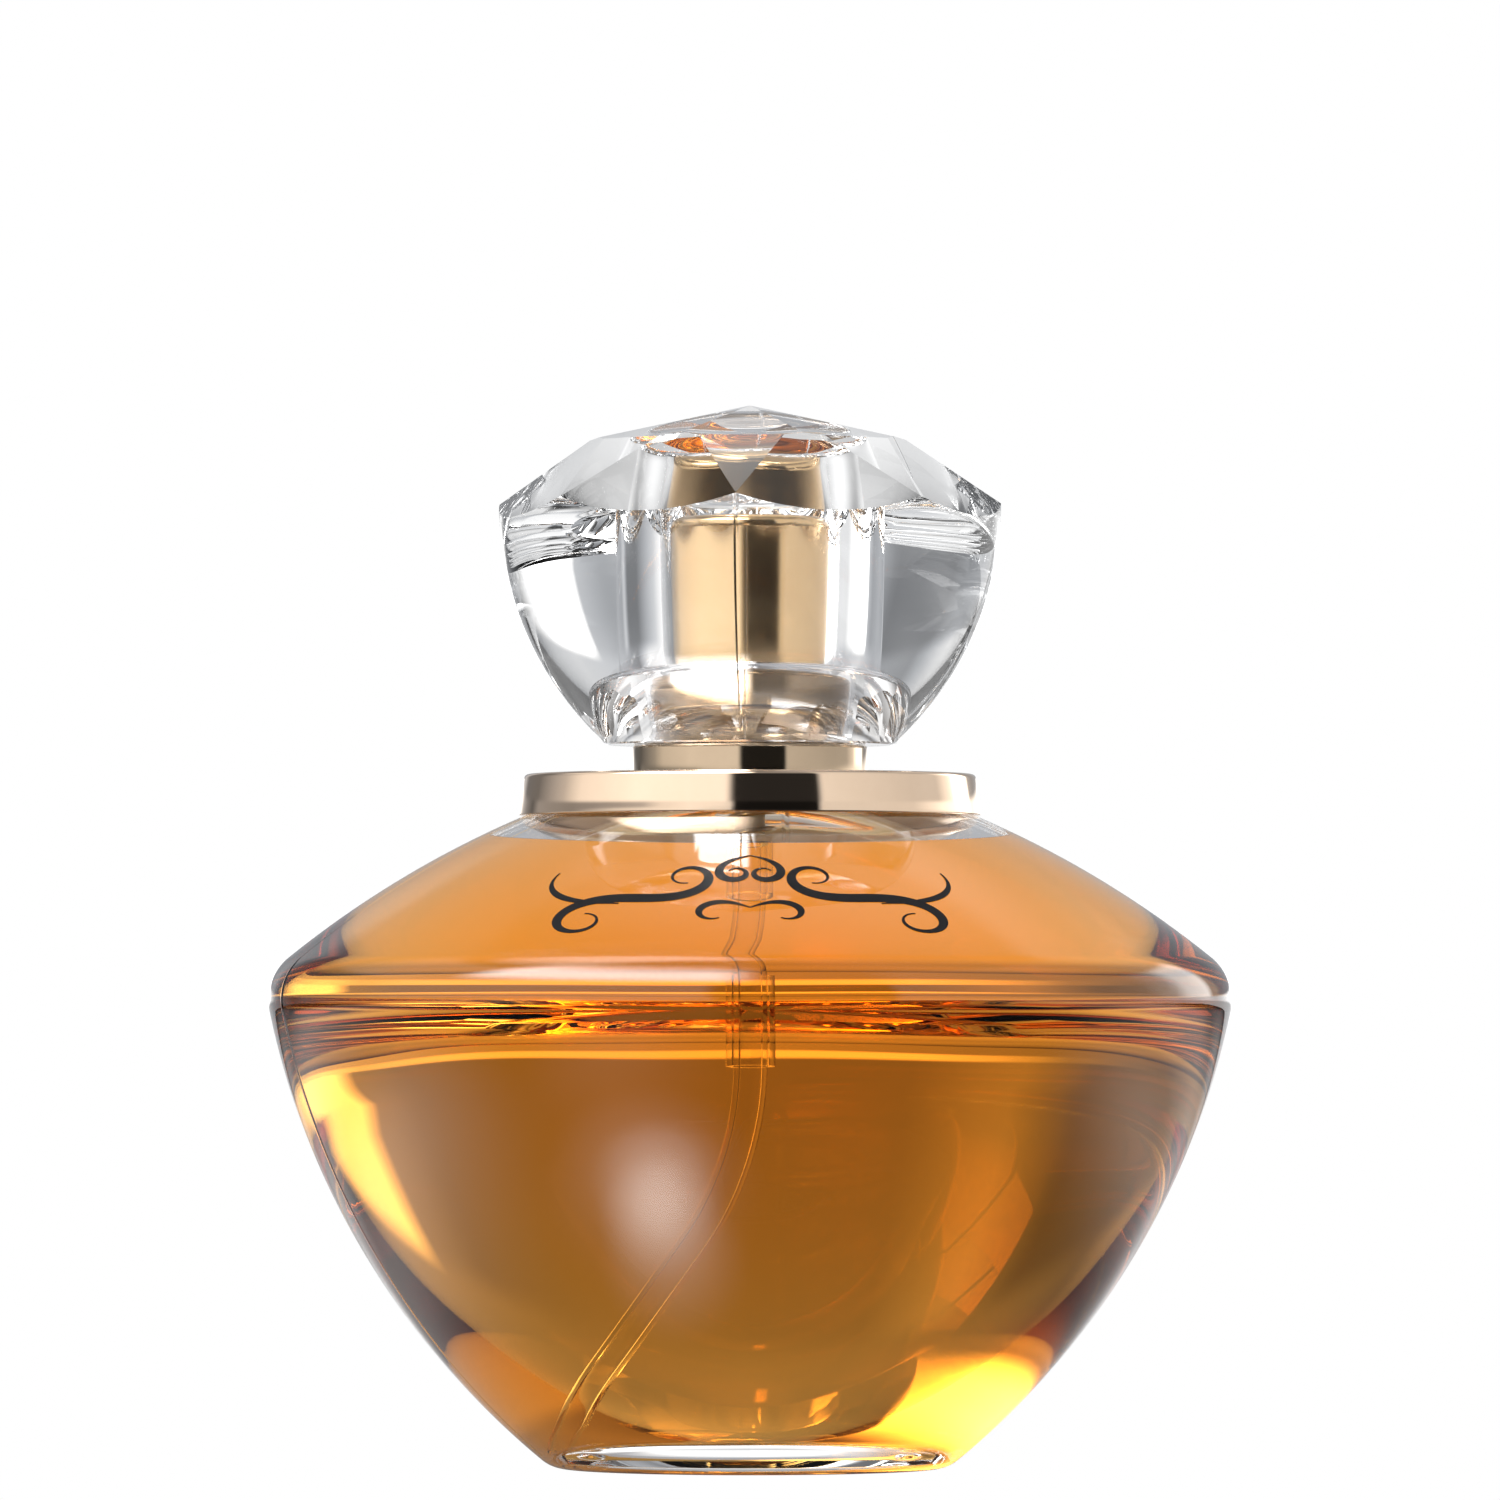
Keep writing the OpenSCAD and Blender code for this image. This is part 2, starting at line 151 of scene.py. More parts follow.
def rounded(corner, radius, start, end, count=8):
    """A quarter round inside a square corner: start and end are the angles it turns between."""
    sx = -1 if math.cos(math.radians((start + end) / 2)) > 0 else 1
    sz = -1 if math.sin(math.radians((start + end) / 2)) > 0 else 1
    return arc((corner[0] + sx * radius, corner[1] + sz * radius), radius, start, end, count)


# ---------------------------------------------------------------- meshes
def new_object(name, verts, faces, slots=None, smooth=True):
    mesh = bpy.data.meshes.new(name)
    mesh.from_pydata(verts, [], faces)
    if slots:
        mesh.polygons.foreach_set("material_index", slots)
    mesh.polygons.foreach_set("use_smooth", [smooth] * len(mesh.polygons))
    mesh.update()
    obj = bpy.data.objects.new(name, mesh)
    bpy.context.scene.collection.objects.link(obj)
    return obj


def turns(count, fine=(), width=1.2, extra=12):
    """Azimuths of a lathe's columns in degrees, with close columns about each fine azimuth."""
    values = {round(360.0 * i / count, 4) for i in range(count)}
    for centre in fine:
        for i in range(-extra, extra + 1):
            values.add(round((centre + width * i / extra) % 360, 4))
    return sorted(values)


def lathe(name, outline, columns, slot_of=None, move=None, sharp=35.0):
    """Turns an outline of (r, z) in millimetres about the axis.

    The outline goes from the foot up the outside, so that faces look out. slot_of(i) is the material of the
    stretch from point i, and move(i, r, z, turn) shifts a point."""
    verts, rings = [], []
    for i, (r, z) in enumerate(outline):
        if r < 1e-6:
            rings.append([len(verts)])
            verts.append((0.0, 0.0, (move(i, r, z, 0.0)[1] if move else z) * MM))
            continue
        ring = []
        for turn in columns:
            rr, zz = move(i, r, z, turn) if move else (r, z)
            a = math.radians(turn)
            ring.append(len(verts))
            verts.append((rr * MM * math.cos(a), rr * MM * math.sin(a), zz * MM))
        rings.append(ring)
    faces, slots = [], []
    n = len(columns)
    for i in range(len(rings) - 1):
        low, high = rings[i], rings[i + 1]
        index = slot_of(i) if slot_of else 0
        for j in range(n):
            k = (j + 1) % n
            if len(low) == 1:
                faces.append((low[0], high[k], high[j]))
            elif len(high) == 1:
                faces.append((low[j], low[k], high[0]))
            else:
                faces.append((low[j], low[k], high[k], high[j]))
            slots.append(index)
    obj = new_object(name, verts, faces, slots)
    mark_sharp(obj, sharp)
    return obj


def mark_sharp(obj, degrees):
    """Edges that bend more than an angle are shaded sharp."""
    work = bmesh.new()
    work.from_mesh(obj.data)
    limit = math.radians(degrees)
    for edge in work.edges:
        edge.smooth = len(edge.link_faces) == 2 and edge.calc_face_angle(0.0) < limit
    work.to_mesh(obj.data)
    work.free()


def tube_points():
    """Centre line of the dip tube in the x-z plane with its direction, from the top down."""
    points = [((0.0, z), 0.0) for z in TUBE_STRAIGHT]
    lean = math.radians(TUBE_LEAN)
    for i in range(25):
        a = lean * i / 24
        points.append(((TUBE_BEND_R * (math.cos(a) - 1), TUBE_BEND_Z - TUBE_BEND_R * math.sin(a)), a))
    (x, z), _ = points[-1]
    for i in range(1, 9):
        s = TUBE_SLANT * i / 8
        points.append(((x - s * math.sin(lean), z - s * math.cos(lean)), lean))
    (x, z), _ = points[-1]
    cx, cz = x + TUBE_FOOT_R * math.cos(lean), z - TUBE_FOOT_R * math.sin(lean)
    for i in range(1, 11):
        a = lean - math.radians(TUBE_LEAN - TUBE_FOOT_LEAN) * i / 10
        points.append(((cx - TUBE_FOOT_R * math.cos(a), cz + TUBE_FOOT_R * math.sin(a)), a))
    return points


def make_tube(name, sides=40):
    """The dip tube as one closed wall: outside down, foot rim, inside up, head rim."""
    path = tube_points()
    loops = [(p, TUBE_R) for p in path] + [(p, TUBE_BORE_R) for p in reversed(path)]
    verts, faces = [], []
    for ((x, z), lean), radius in loops:
        for j in range(sides):
            a = 2 * math.pi * j / sides
            across, deep = radius * math.cos(a), radius * math.sin(a)
            verts.append(
                ((x + across * math.cos(lean)) * MM, deep * MM, (z - across * math.sin(lean)) * MM)
            )
    count = len(loops)
    for i in range(count):
        m = (i + 1) % count
        for j in range(sides):
            k = (j + 1) % sides
            faces.append((i * sides + j, m * sides + j, m * sides + k, i * sides + k))
    obj = new_object(name, verts, faces)
    mark_sharp(obj, 35)
    return obj


# ---------------------------------------------------------------- materials
def new_material(name):
    material = bpy.data.materials.new(name)
    material.use_nodes = True
    nodes, links = material.node_tree.nodes, material.node_tree.links
    shader = nodes["Principled BSDF"]
    return material, nodes, links, shader


def noise(nodes, links, scale, detail, roughness=0.5):
    """Noise in the object's own space, from 0 to 1."""
    coords = nodes.new("ShaderNodeTexCoord")
    tex = nodes.new("ShaderNodeTexNoise")
    tex.inputs["Scale"].default_value = scale
    tex.inputs["Detail"].default_value = detail
    tex.inputs["Roughness"].default_value = roughness
    links.new(coords.outputs["Object"], tex.inputs["Vector"])
    return tex.outputs["Fac"]


def vary(nodes, links, source, low, high):
    """Maps a 0 to 1 value to a range."""
    span = nodes.new("ShaderNodeMapRange")
    span.inputs["To Min"].default_value = low
    span.inputs["To Max"].default_value = high
    links.new(source, span.inputs["Value"])
    return span.outputs["Result"]


def bump(nodes, links, source, shader, strength, distance):
    """Raises the surface by a 0 to 1 value times a distance in metres."""
    node = nodes.new("ShaderNodeBump")
    node.inputs["Strength"].default_value = strength
    node.inputs["Distance"].default_value = distance
    links.new(source, node.inputs["Height"])
    links.new(node.outputs["Normal"], shader.inputs["Normal"])


def clear_material(name, ior, colour=(1, 1, 1), wave=0.0, wave_scale=60.0, absorb=None):
    """Clear glass, plastic or liquid. wave is the height in metres of its faint ripple, and absorb is the
    colour and the density of its absorption."""
    material, nodes, links, shader = new_material(name)
    shader.inputs["Base Color"].default_value = (*colour, 1)
    shader.inputs["Roughness"].default_value = 0.0
    shader.inputs["IOR"].default_value = ior
    shader.inputs["Transmission Weight"].default_value = 1.0
    if wave:
        bump(nodes, links, noise(nodes, links, wave_scale, detail=2.0), shader, 1.0, wave)
    if absorb:
        volume = nodes.new("ShaderNodeVolumeAbsorption")
        volume.inputs["Color"].default_value = (*absorb[0], 1)
        volume.inputs["Density"].default_value = absorb[1]
        output = next(n for n in nodes if n.type == "OUTPUT_MATERIAL")
        links.new(volume.outputs["Volume"], output.inputs["Volume"])
    return material


def metal_material(name, colour, dark, roughness):
    """Bright anodised metal with faint unevenness in colour and gloss."""
    material, nodes, links, shader = new_material(name)
    shader.inputs["Metallic"].default_value = 1.0
    grain = noise(nodes, links, scale=220.0, detail=4.0, roughness=0.6)
    ramp = nodes.new("ShaderNodeValToRGB")
    ramp.color_ramp.elements[0].position = 0.3
    ramp.color_ramp.elements[0].color = (*dark, 1)
    ramp.color_ramp.elements[1].position = 0.7
    ramp.color_ramp.elements[1].color = (*colour, 1)
    links.new(grain, ramp.inputs["Fac"])
    links.new(ramp.outputs["Color"], shader.inputs["Base Color"])
    spread = vary(nodes, links, grain, roughness * 0.7, roughness * 1.3)
    links.new(spread, shader.inputs["Roughness"])
    return material


def plastic_material(name, colour, roughness, gloss=0.5):
    """Moulded plastic or rubber with a fine skin."""
    material, nodes, links, shader = new_material(name)
    grain = noise(nodes, links, scale=900.0, detail=4.0, roughness=0.6)
    mix = nodes.new("ShaderNodeMixRGB")
    mix.inputs["Color1"].default_value = (*[c * 0.92 for c in colour], 1)
    mix.inputs["Color2"].default_value = (*colour, 1)
    links.new(grain, mix.inputs["Fac"])
    links.new(mix.outputs["Color"], shader.inputs["Base Color"])
    spread = vary(nodes, links, grain, roughness * 0.8, roughness * 1.2)
    links.new(spread, shader.inputs["Roughness"])
    shader.inputs["Specular IOR Level"].default_value = gloss
    shader.inputs["IOR"].default_value = 1.5
    bump(nodes, links, grain, shader, 0.2, 0.00001)
    return material


def use(obj, *materials):
    for material in materials:
        obj.data.materials.append(material)


AMBER = ((0.934, 0.66, 0.05), 68.0)  # absorption colour, and density per metre

glass_dry = clear_material("glass_clear", GLASS, wave=0.000004, wave_scale=45)
glass_wet = clear_material("glass_wetted", GLASS / LIQUID)
liquid_side = clear_material("perfume_body", 1.0, absorb=AMBER)
liquid_top = clear_material("perfume_surface", LIQUID)
tube_clear = clear_material("tube_clear", TUBE / LIQUID, (0.98, 0.97, 0.93), wave=0.00001, wave_scale=300)
acrylic = clear_material("acrylic_clear", ACRYLIC, (0.995, 0.998, 1.0), wave=0.000002, wave_scale=80)
liner_clear = clear_material("liner_clear", ACRYLIC, (0.99, 0.99, 1.0))
pale_gold = metal_material("pale_gold", (0.81, 0.62, 0.46), (0.78, 0.59, 0.43), 0.06)
# The collar's flange gold is a darker copy of the ring's pale gold: painted shade for its recess between
# ring and cap.
collar_gold = metal_material("collar_gold", (0.50, 0.385, 0.265), (0.46, 0.35, 0.24), 0.07)
# Darker still for the collar's top inside the cap: painted shade under the cap.
deep_shaded_gold = metal_material("deep_shaded_gold", (0.40, 0.27, 0.15), (0.34, 0.23, 0.12), 0.10)
warm_gold = metal_material("warm_gold", (0.80, 0.56, 0.31), (0.76, 0.52, 0.28), 0.16)
aluminium = metal_material("aluminium", (0.80, 0.80, 0.80), (0.72, 0.72, 0.73), 0.3)
steel = metal_material("spring_steel", (0.6, 0.6, 0.6), (0.5, 0.5, 0.5), 0.25)
white_plastic = plastic_material("white_plastic", (0.85, 0.85, 0.83), 0.35)
beige_plastic = plastic_material("beige_plastic", (0.70, 0.50, 0.31), 0.3)
dark_rubber = plastic_material("dark_rubber", (0.05, 0.05, 0.05), 0.6)
ink = plastic_material("black_ink", (0.004, 0.004, 0.005), 0.5, gloss=0.12)


# ---------------------------------------------------------------- glass bottle, print and liquid
COLUMNS = 288
# Waves of the unevenness inside the glass: share, waves a turn, twist with height and start
WAVES = ((0.5, 3, 0.11, 0.7), (0.35, 5, -0.23, 2.1), (0.25, 8, 0.41, 4.0), (0.2, 2, -0.55, 1.2))


def uneven(r, z, turn):
    """Distance from the axis of a point inside the glass, with its slow unevenness, in millimetres."""
    a = math.radians(turn)
    waves = (share * math.sin(count * a + twist * z + start) for share, count, twist, start in WAVES)
    wave = RIPPLE * sum(waves)
    if z < RIPPLE_FLOOR_Z:
        return r + wave * min(1.0, r / RIPPLE_FLOOR_R)
    return r + wave * min(1.0, max(0.0, (RIPPLE_END_Z - z) / RIPPLE_END_FADE))


def seam(turn):
    """Height of the mould's parting lines at an azimuth."""
    total = 0.0
    for centre in SEAM_TURNS:
        off = (turn - centre + 180) % 360 - 180
        total += SEAM_HEIGHT * math.exp(-((off / SEAM_WIDTH) ** 2))
    return total


def dots(r, turn):
    """Height of the raised dots under the base."""
    step = 360 / DOT_COUNT
    off = (turn % step) - step / 2
    across = math.radians(off) * DOT_RING_R
    d = math.hypot(across, r - DOT_RING_R)
    return DOT_HEIGHT * math.exp(-((d / DOT_SIZE) ** 2) * 2)


def cavity(top_z, ease):
    """Inside of the glass from the shoulder at top_z to the floor's edge, drawn in by ease."""
    return vessel(
        top_z, SHOULDER_WALL + ease, BELLY_WALL + ease, BASE_WALL + ease,
        CAVITY_RIDGE_ROUND - ease, CAVITY_FOOT_ROUND - ease,
    )


def make_bottle():
    outside = chain(
        [(0.0, PUNT_DEPTH)],
        run((1.0, PUNT_DEPTH), (PUNT_R - 0.5, PUNT_DEPTH), 60),
        [(PUNT_R, PUNT_DEPTH * 0.6), (PUNT_R + 0.4, 0.08), (PUNT_R + 0.8, 0.0)],
        list(reversed(vessel(LAND_Z, 0, 0, 0, RIDGE_ROUND, FOOT_ROUND))),
        run((reach_on(SHOULDER_C, SHOULDER_R, LAND_Z), LAND_Z), (NECK_R + NECK_FILLET, LAND_Z), 4),
        arc((NECK_R + NECK_FILLET, LAND_Z + NECK_FILLET), NECK_FILLET, -90, -180, 5),
        [(NECK_R, NECK_TOP_Z - BEAD_H)],
        rounded((BEAD_R, NECK_TOP_Z - BEAD_H), BEAD_ROUND, -90, 0),
        rounded((BEAD_R, NECK_TOP_Z), BEAD_ROUND, 0, 90),
    )
    throat_r = BORE_R + THROAT_ROUND
    rs = SHOULDER_R - SHOULDER_WALL
    throat = (throat_r, height_on(SHOULDER_C, rs + THROAT_ROUND, throat_r))
    touch_angle = bearing(throat, SHOULDER_C)
    touch_z = throat[1] + THROAT_ROUND * math.sin(math.radians(touch_angle))
    wall = cavity(touch_z, 0)
    inside = chain(
        rounded((BORE_R, NECK_TOP_Z), MOUTH_ROUND, 90, 180),
        run((BORE_R, NECK_TOP_Z - MOUTH_ROUND), (BORE_R, throat[1]), 6),
        arc(throat, THROAT_ROUND, 180, touch_angle % 360, 16),
        wall,
        run(wall[-1], (0.0, BASE_WALL), 12),
    )
    first_in = len(outside)
    outline = outside + inside

    def move(i, r, z, turn):
        if i >= first_in:
            return uneven(r, z, turn), z
        under_base = PUNT_DEPTH - 0.01 < z < 1 and r < PUNT_R - 0.6
        ridge = seam(turn) if 1.0 < z < LAND_Z - 1 else 0.0
        return r + ridge, z - (dots(r, turn) if under_base else 0.0)

    def slot_of(i):
        middle_z = (outline[i][1] + outline[i + 1][1]) / 2 if i >= first_in else LAND_Z
        return 1 if middle_z < FILL_Z + MENISCUS_RISE else 0

    obj = lathe("bottle_glass", outline, turns(COLUMNS, SEAM_TURNS), slot_of, move)
    use(obj, glass_dry, glass_wet)
    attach(obj, "bottle")
    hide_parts("glass_bottle")


# Flourish printed on the front of the shoulder, its right half. A stroke starts at (across, up the slope)
# in millimetres from the flourish's middle, and has a heading in degrees, a length, a curvature per
# millimetre at its start and at its end, and a width. A scroll has one curvature, and is drawn from its
# middle out both ways.
FLOURISH_R, FLOURISH_THIN, FLOURISH_LIFT, FLOURISH_SKIN = 28.6, 0.13, 0.015, 0.05
SCROLLS = ((8.7, 0.1, -24.0, 26.0, 1.0, 1.15),)
STROKES = (
    (0.0, 3.7, -160.0, 9.2, 0.05, 1.5, 0.75),
    (9.4, -3.5, 4.0, 9.2, -0.02, 0.40, 0.6),
    (0.0, -4.1, 35.0, 6.4, -0.1, -1.3, 0.6),
)


def stroke(across, up, heading, length, bend, end_bend, width, count=110):
    """Points of a stroke as (across, up, heading in radians, width), thin at both ends."""
    a = math.radians(heading)
    step = length / count
    points = []
    for i in range(count + 1):
        t = i / count
        swell = (width - FLOURISH_THIN) * math.sin(math.pi * t) ** 1.5
        points.append((across, up, a, FLOURISH_THIN + swell))
        across, up = across + math.cos(a) * step, up + math.sin(a) * step
        a += (bend + (end_bend - bend) * t) * step
    return points


def scroll(across, up, heading, length, bend, width):
    """An S that curls up at both ends, through its middle."""
    start = stroke(across, up, heading + 180, length / 2, 0.0, bend, width)[-1]
    return stroke(start[0], start[1], math.degrees(start[2]) - 180, length, bend, -bend, width, 220)


def on_shoulder(across, up, lift):
    """A point of the flourish on the outside of the shoulder, in metres."""
    middle = math.acos((FLOURISH_R - SHOULDER_C[0]) / SHOULDER_R)
    a = middle + up / SHOULDER_R
    r = SHOULDER_C[0] + (SHOULDER_R + lift) * math.cos(a)
    z = SHOULDER_C[1] + (SHOULDER_R + lift) * math.sin(a)
    turn = across / FLOURISH_R - math.pi / 2
    return (r * math.cos(turn) * MM, r * math.sin(turn) * MM, z * MM)


def make_flourish():
    verts, faces = [], []
    lines = [scroll(*s) for s in SCROLLS] + [stroke(*s) for s in STROKES]
    corners = ((1, FLOURISH_SKIN), (-1, FLOURISH_SKIN), (-1, FLOURISH_LIFT), (1, FLOURISH_LIFT))
    for side in (1, -1):
        for line in lines:
            first = len(verts)
            for across, up, a, width in line:
                dx, dy = -math.sin(a) * width / 2, math.cos(a) * width / 2
                for sign, lift in corners:
                    verts.append(on_shoulder(side * (across + sign * dx), up + sign * dy, lift))
            last = len(verts) - 4
            for i in range(first, last, 4):
                for j in range(4):
                    k = (j + 1) % 4
                    faces.append((i + j, i + k, i + 4 + k, i + 4 + j))
            faces += [(first, first + 3, first + 2, first + 1), (last, last + 1, last + 2, last + 3)]
    obj = new_object("printed_flourish", verts, faces, smooth=False)
    work = bmesh.new()
    work.from_mesh(obj.data)
    bmesh.ops.recalc_face_normals(work, faces=work.faces[:])
    work.to_mesh(obj.data)
    work.free()
    use(obj, ink)
    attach(obj, "bottle")


def make_liquid():
    contact_z = FILL_Z + MENISCUS_RISE
    side = cavity(contact_z, LIQUID_GAP)
    contact_r = side[0][0]

    def surface(lift):
        """The free surface from the glass in to the pump's barrel, with its edge drawn up the glass."""
        points = []
        for i in range(41):
            r = BARREL_MID_R + (contact_r - BARREL_MID_R) * (1 - (i / 40) ** 1.6)
            climb = MENISCUS_RISE * math.exp(-(contact_r - r) / MENISCUS_LENGTH)
            points.append((r, FILL_Z + lift + climb))
        return points

    body = chain(
        run((0.0, BASE_WALL + LIQUID_GAP), side[-1], 12), list(reversed(side)), surface(0.0),
        [(BARREL_MID_R, BARREL_FLOOR_Z), (0.0, BARREL_FLOOR_Z)],
    )

    def move(i, r, z, turn):
        return uneven(r, z, turn), z

    columns = turns(COLUMNS, SEAM_TURNS)
    obj = lathe("perfume", body, columns, None, move, sharp=25)
    use(obj, liquid_side)
    top = lathe("perfume_surface", surface(LIQUID_GAP), columns, None, move)
    use(top, liquid_top)
    for piece in (obj, top):
        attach(piece, "bottle")
        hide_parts("perfume_liquid")


# ---------------------------------------------------------------- spring and dip tube
SPRING_R, SPRING_WIRE_R, SPRING_TURNS, SPRING_END_GAP = 1.95, 0.2, 5, 0.03
SPRING_FOOT_Z, SPRING_HEAD_Z, PRESSED_SHARE = 45.0, 52.0, 3 / 7


def make_spring(sides=8, rings_per_turn=20):
    """The pump's coil, drawn at its rest length. The real coil shortens as the actuator goes down."""
    rings = rings_per_turn * SPRING_TURNS
    foot = SPRING_FOOT_Z + SPRING_WIRE_R + SPRING_END_GAP
    rise = SPRING_HEAD_Z - SPRING_FOOT_Z - 2 * (SPRING_WIRE_R + SPRING_END_GAP)
    verts, faces = [], []
    for i in range(rings + 1):
        turn = 2 * math.pi * i / rings_per_turn
        for j in range(sides):
            a = 2 * math.pi * j / sides
            r = (SPRING_R + SPRING_WIRE_R * math.cos(a)) * MM
            z = (foot + rise * i / rings + SPRING_WIRE_R * math.sin(a)) * MM
            verts.append((r * math.cos(turn), r * math.sin(turn), z))
    for i in range(rings):
        for j in range(sides):
            k = (j + 1) % sides
            low, high = i * sides, (i + 1) * sides
            faces.append((low + j, high + j, high + k, low + k))
    faces += [tuple(range(sides)), tuple(rings * sides + j for j in reversed(range(sides)))]
    obj = new_object("spring_coil", verts, faces)
    mark_sharp(obj, 60)
    use(obj, steel)
    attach(obj, "bottle")
    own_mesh(obj)
    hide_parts("return_spring")


def make_dip_tube():
    obj = make_tube("dip_tube_clear")
    use(obj, tube_clear)
    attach(obj, "bottle")
    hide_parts("dip_tube")


# ---------------------------------------------------------------- gold trim
TRIM_COLUMNS = 256
RING_R, RING_TOP_R, RING_Z, RING_TOP_Z, RING_BORE_R, RING_WALL = 18.5, 18.1, 52.1, 55.45, 8.2, 0.6
RING_FOOT_ROUND, RING_EDGE_ROUND, RING_LIFT, RING_CLEARANCE = 0.15, 0.4, 0.02, 0.08
COLLAR = {
    "foot": 55.48, "flange_r": 9.4, "flange_top": 57.75, "waist_r": 8.45, "bead_r": 8.7, "bead_z": 62.0,
    "top": 65.2, "mouth_r": 6.75, "bore_r": 8.0, "lip": 0.5,
}


def closed(outline):
    """Closes an outline on itself."""
    return outline + [outline[0]]


def make_ring():
    under_r = RING_TOP_R - RING_WALL
    outline = closed(chain(
        [(RING_BORE_R, RING_TOP_Z - RING_WALL), (under_r, RING_TOP_Z - RING_WALL),
         (under_r, height_on(SHOULDER_C, SHOULDER_R + RING_CLEARANCE, under_r))],
        [(RING_R - RING_FOOT_ROUND, RING_Z + RING_LIFT)],
        arc((RING_R - RING_FOOT_ROUND, RING_Z + RING_LIFT + RING_FOOT_ROUND), RING_FOOT_ROUND, -90, 0, 4),
        rounded((RING_TOP_R, RING_TOP_Z), RING_EDGE_ROUND, 0, 90, 8),
        rounded((RING_BORE_R, RING_TOP_Z), RING_FOOT_ROUND, 90, 180, 3),
    ))
    obj = lathe("gold_shoulder_ring", outline, turns(TRIM_COLUMNS))
    use(obj, pale_gold)
    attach(obj, "bottle")
    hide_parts("shoulder_ring")


def make_collar():
    c = COLLAR
    outline = closed(chain(
        [(c["bore_r"], c["foot"]), (c["flange_r"] - 0.1, c["foot"]), (c["flange_r"], c["foot"] + 0.1)],
        rounded((c["flange_r"], c["flange_top"]), 0.25, 0, 90, 6),
        arc((c["waist_r"] + 0.15, c["flange_top"] + 0.15), 0.15, -90, -180, 3),
        [(c["waist_r"], c["bead_z"] - 0.1), (c["waist_r"] + 0.1, c["bead_z"])],
        rounded((c["bead_r"], c["bead_z"]), 0.2, -60, 0, 4),
        rounded((c["bead_r"], c["top"]), 0.6, 0, 90, 10),
        rounded((c["mouth_r"], c["top"]), 0.15, 90, 180, 4),
        [(c["mouth_r"], c["top"] - c["lip"]), (c["bore_r"], c["top"] - c["lip"])],
    ))

    # Above the flange the collar is inside the cap and takes the deeper painted shade.
    def slot_of(i):
        return 1 if min(outline[i][1], outline[i + 1][1]) > c["flange_top"] - 0.01 else 0

    obj = lathe("gold_collar", outline, turns(TRIM_COLUMNS), slot_of)
    use(obj, collar_gold, deep_shaded_gold)
    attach(obj, "bottle")
    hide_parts("collar")


# ---------------------------------------------------------------- cap
CAP_R, RIM_Z, TIP_Z, CAP_SIDE_R, CAP_FOOT_Z = 20.1, 77.1, 85.0, 25.8, 57.8
CHAMBER_R, CHAMBER_TOP_Z, CAP_BORE_R, CAP_BORE_TOP_Z = 9.2, 65.5, 7.25, 77.8
CAP_COLUMNS, CHAMBER_ROUND, CAP_BORE_LEAD, CAP_BORE_ROUND = 240, 0.6, 0.3, 0.5
FACETS, CROWN_TURN = 8, -3.2
MAIN_SLOPE, STAR_SLOPE, TOP_SLOPE = 0.88, 0.66, 0.235
PART_LINE_TURNS, PART_LINE_WIDTH, PART_LINE_HEIGHT = (CROWN_TURN - 90, CROWN_TURN + 90), 0.3, 0.05
LARGEST_SMOOTH_FACE = 3e-6  # square metres: bigger faces of the cap are flat facets


def facet_planes():
    """(point, normal) of every facet's plane, in metres."""
    step = 360 / FACETS
    rows = (
        (CAP_R * math.cos(math.radians(step / 2)), RIM_Z, MAIN_SLOPE, 0.5),
        (CAP_R, RIM_Z, STAR_SLOPE, 0.0),
        (0.0, TIP_Z, TOP_SLOPE, 0.0),
    )
    for r, z, slope, shift in rows:
        for i in range(FACETS):
            a = math.radians(CROWN_TURN + (i + shift) * step - 90)
            out = Vector((math.cos(a), math.sin(a), 0))
            yield (out * r + Vector((0, 0, z))) * MM, (out * slope + Vector((0, 0, 1))).normalized()


